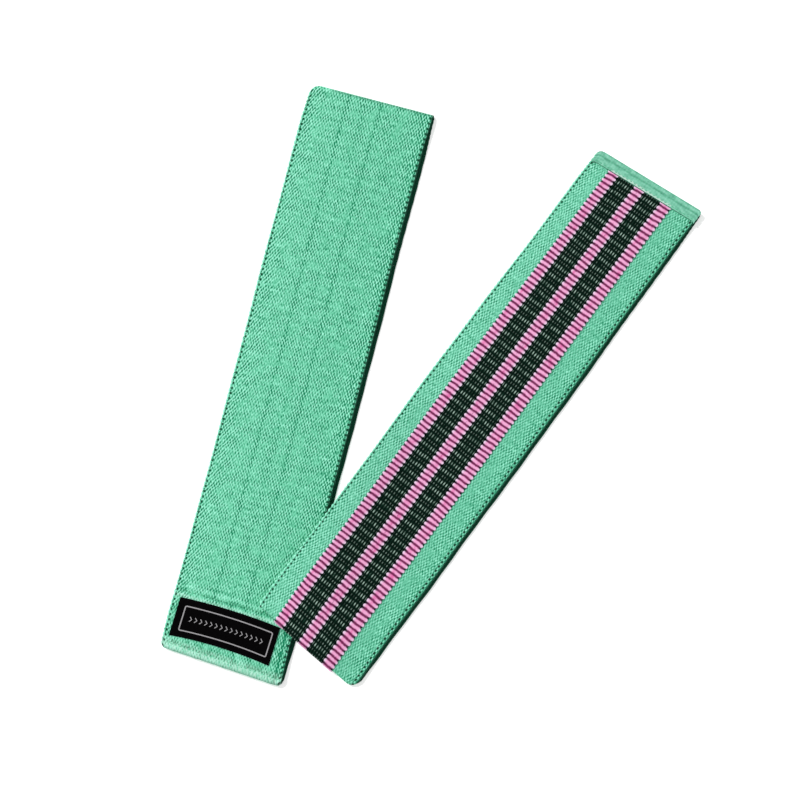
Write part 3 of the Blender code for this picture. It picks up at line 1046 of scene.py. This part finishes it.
def label_and_marks():
    """Black woven label, its frame line, a generic row of chevrons and its stitching."""
    half_x, half_y = LABEL_HALF
    label = flat_patch(
        "label_band_label_cloth", on_label, even(-half_x, half_x, 40),
        even(-half_y, half_y, 14), LABEL_LIFT, LABEL_THICK, label_material,
    )
    stand_for(label, "label", "label_band_woven_label")
    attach(label, "label_band_base")

    verts, faces = [], []
    corners = rounded_rectangle(FRAME_HALF[0], FRAME_HALF[1], 0.0009)
    corners = [(x + FRAME_SHIFT[0], y + FRAME_SHIFT[1]) for x, y in corners]
    outline = spaced(corners, 0.002)
    ribbon(verts, faces, outline, on_label, FRAME_WIDTH, MARK_LIFT, MARK_THICK, True)
    line = mesh_object("label_band_label_frame_line", verts, faces, mark_material, verts_uv(verts))
    stand_for(line, "label")
    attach(line, "label_band_base")

    verts, faces = [], []
    for i in range(CHEVRONS):
        x = CHEVRON_START + CHEVRON_PITCH * i
        back, tip, half = x - CHEVRON_HALF[0], x + CHEVRON_HALF[0], CHEVRON_HALF[1]
        chevron = [(back, half), (tip, 0.0), (back, -half)]
        ribbon(verts, faces, chevron, on_label, CHEVRON_WIDTH, MARK_LIFT, MARK_THICK, False)
    marks = mesh_object("label_band_label_chevrons", verts, faces, mark_material, verts_uv(verts))
    stand_for(marks, "label")
    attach(marks, "label_band_base")

    border = rounded_rectangle(half_x - BORDER_INSET, half_y - BORDER_INSET, 0.0004, 2)
    spots = stitches_along(border, True, BORDER_PITCH, 0.72)
    thread = stitch_row(
        "label_band_label_stitches", spots, on_label, MARK_LIFT, THREAD, label_thread_material
    )
    stand_for(thread, "label", "label_band_label_stitching")
    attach(thread, "label_band_base")
    return [line, marks, thread]


def label_seam_pieces():
    """The label band's two stitch rows, and the hem hidden inside it."""

    def on_band(x, y, lift):
        return place(LABEL, x, y, TOP + lift)

    extras = []
    low, high = SEAM_ROWS
    rows = (
        ("upper", (-ROW_EDGE, high), UPPER_ROW_END),
        ("lower", (-ROW_EDGE, low), (ROW_EDGE, low)),
    )
    for name, start, end in rows:
        spots = stitches_along([start, end], False, SEAM_PITCH, SEAM_SHARE)
        full = "label_band_seam_stitches_" + name
        thread = stitch_row(full, spots, on_band, 0.0001, SEAM_THREAD, thread_material)
        stand_for(thread, "thread", "label_band_seam_stitching_" + name)
        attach(thread, "label_band_base")
        extras.append(thread)

    half = HALF - 0.0012
    path = run(0.0030, HEM, 0.0035, HEM_STEP)
    hem = sheet_mesh(
        "label_band_hem_cloth", LABEL, path, even(-half, half, 20), WEB - 0.0001, hem_material
    )
    stand_for(hem, "webbing", "label_band_seam_hem")
    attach(hem, "label_band_base")
    extras.append(hem)
    return extras


def grip_seam_pieces():
    """The grip band's hem on its inner side, which shows, and the hem's two stitch rows."""
    length = GRIP.length

    def on_hem(x, y, lift):
        return place(GRIP, x, y, TOP - LINING + WEB + lift)

    def hem_relief(along, x):
        depth = length - along
        swell = 0.0002 * math.sin(math.pi * min(1.0, depth / HEM))
        return swell - 0.00045 * hollow(depth, HEM_ROWS[0], 0.0009)

    half = HALF - 0.0002
    path = run(length - HEM, length - 0.0006, TOP - LINING + 0.0003 + WEB / 2, 0.0004)
    hem = sheet_mesh(
        "grip_band_hem_cloth", GRIP, path, even(-half, half, 40), WEB,
        hem_material, hem_relief, selvedge,
    )
    stand_for(hem, "webbing", "grip_band_seam_hem")
    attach(hem, "grip_band_far_fold")

    extras = [hem]
    for name, depth, lift in (("outer", HEM_ROWS[0], 0.0), ("inner", HEM_ROWS[1], 0.00035)):
        line = [(-ROW_EDGE, length - depth), (ROW_EDGE, length - depth)]
        spots = stitches_along(line, False, SEAM_PITCH, SEAM_SHARE)
        full = "grip_band_seam_stitches_" + name
        thread = stitch_row(full, spots, on_hem, lift, THREAD, thread_material)
        stand_for(thread, "thread", "grip_band_seam_stitching_" + name)
        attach(thread, "grip_band_far_fold")
        extras.append(thread)
    return extras


def hidden_label():
    """The grip band's label, which lies inside its loop."""

    def inside(x, y, lift):
        return place(GRIP, x, y, lift)

    half_x, half_y = HIDDEN_HALF
    centre = GRIP.length - LABEL_CENTRE[1]
    label = flat_patch(
        "grip_band_label_cloth", inside, even(HIDDEN_SHIFT - half_x, HIDDEN_SHIFT + half_x, 20),
        even(centre - half_y, centre + half_y, 26), HIDDEN_HEIGHT, HIDDEN_THICK, label_material,
    )
    stand_for(label, "label", "grip_band_woven_label")
    bend(label, GRIP, *GRIP.fold_bends)


label_marks = label_and_marks()
label_seam = label_seam_pieces()
grip_seam = grip_seam_pieces()
hidden_label()


# Surface, light and camera.

FLOOR_HALF = 6.0
SENSOR = 36.0
VIEW_WIDTH = 0.5166
VIEW_CENTRE = (0.0678, 0.1943)
VIEW_TURN = math.radians(15.06)
EYE_HEIGHT = 2.0
TOWARD_SUN = (-0.8667, 0.4992, 1.25)


def floor_material():
    """White, and lit a little from within, so that soft shadows on it stay white."""
    s = Shade("white_surface", 1.0)
    s.colour((0.85, 0.85, 0.85))
    s.shader.inputs["Specular IOR Level"].default_value = 0.0
    s.shader.inputs["Emission Color"].default_value = (1, 1, 1, 1)
    s.shader.inputs["Emission Strength"].default_value = 0.42
    return s.material


def build_stage():
    half = FLOOR_HALF
    corners = [(-half, -half, 0), (half, -half, 0), (half, half, 0), (-half, half, 0)]
    mesh = bpy.data.meshes.new("floor")
    mesh.from_pydata(corners, [], [(0, 1, 2, 3)])
    mesh.materials.append(floor_material())
    floor = bpy.data.objects.new("floor", mesh)
    bpy.context.scene.collection.objects.link(floor)
    floor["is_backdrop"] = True

    world = bpy.data.worlds.new("white_room")
    world.use_nodes = True
    sky = world.node_tree.nodes["Background"]
    sky.inputs["Color"].default_value = (1, 1, 1, 1)
    sky.inputs["Strength"].default_value = 0.55
    bpy.context.scene.world = world

    sun = bpy.data.lights.new("window_light", "SUN")
    sun.energy = 2.0
    sun.angle = math.radians(9)
    lamp = bpy.data.objects.new("window_light", sun)
    lamp.rotation_euler = Vector(TOWARD_SUN).to_track_quat("Z", "Y").to_euler()
    bpy.context.scene.collection.objects.link(lamp)

    camera = bpy.data.cameras.new("camera")
    camera.sensor_width = SENSOR
    camera.lens = SENSOR * EYE_HEIGHT / VIEW_WIDTH
    eye = bpy.data.objects.new("camera", camera)
    eye.location = ORIGIN + Vector((*VIEW_CENTRE, EYE_HEIGHT))
    eye.rotation_euler = (0.0, 0.0, VIEW_TURN)
    bpy.context.scene.collection.objects.link(eye)
    bpy.context.scene.camera = eye
    bpy.context.scene.view_settings.view_transform = "Standard"


build_stage()

low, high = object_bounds()
